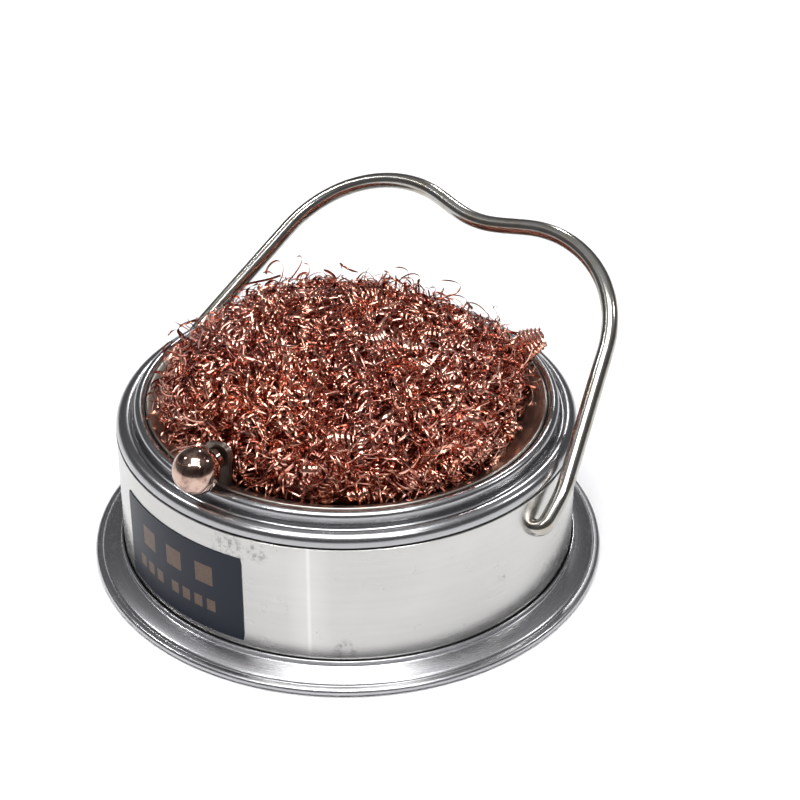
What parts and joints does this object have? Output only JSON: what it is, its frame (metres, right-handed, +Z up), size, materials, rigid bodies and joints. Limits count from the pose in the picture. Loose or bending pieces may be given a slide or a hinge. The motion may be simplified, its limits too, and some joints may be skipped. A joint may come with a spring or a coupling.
{
  "type": "soldering iron stand",
  "caption": "Round steel soldering iron stand with a tipping pan of copper wool, a ball knob and a swinging wire bail that holds the iron.",
  "frame": {"origin": "centre of the round underside, on the bench", "axes": "+Z up along the drum's axis; X along the bail's and the pan's pivots; the ball knob and the label are at the front, on -Y"},
  "size_m": [0.1, 0.1, 0.0575],
  "materials": {
    "saucer_steel": "polished pressed sheet",
    "drum_steel": "polished sheet with a faint brushed grain",
    "label": "satin dark plate printed with plain squares and blocks",
    "hardware_steel": "plain turned",
    "pan_steel": "pressed sheet, a little stained",
    "ball_steel": "mirror polished",
    "copper_wool": null,
    "bail_wire": "bright drawn wire"
  },
  "bodies": {
    "base": {"base_saucer": "saucer_steel"},
    "drum": {"drum_wall": "drum_steel", "shoulder_ring": "drum_steel", "front_label": "label", "pan_pivot_left": "hardware_steel", "pan_pivot_right": "hardware_steel"},
    "pan": {"drip_pan": "pan_steel", "knob_tab": "hardware_steel", "knob_screw": "hardware_steel", "ball_knob": "ball_steel"},
    "wool": {"copper_wool": "copper_wool"},
    "bail": {"wire_bail": "bail_wire"}
  },
  "joints": [
    {"name": "drum_lift", "type": "slide", "parent": "base", "child": "drum", "axis": [0, 0, 1], "range_m": [0, 0.03]},
    {"name": "pan_tip", "type": "hinge", "parent": "drum", "child": "pan", "pos_m": [0, 0, 0.027], "axis": [-1, 0, 0], "range_deg": [0, 35]},
    {"name": "wool_lift", "type": "slide", "parent": "pan", "child": "wool", "axis": [0, 0, 1], "range_m": [0, 0.005]},
    {"name": "bail_swing", "type": "hinge", "parent": "drum", "child": "bail", "pos_m": [0, 0, 0.0217], "axis": [-1, 0, 0], "range_deg": [-156, 54]}
  ]
}
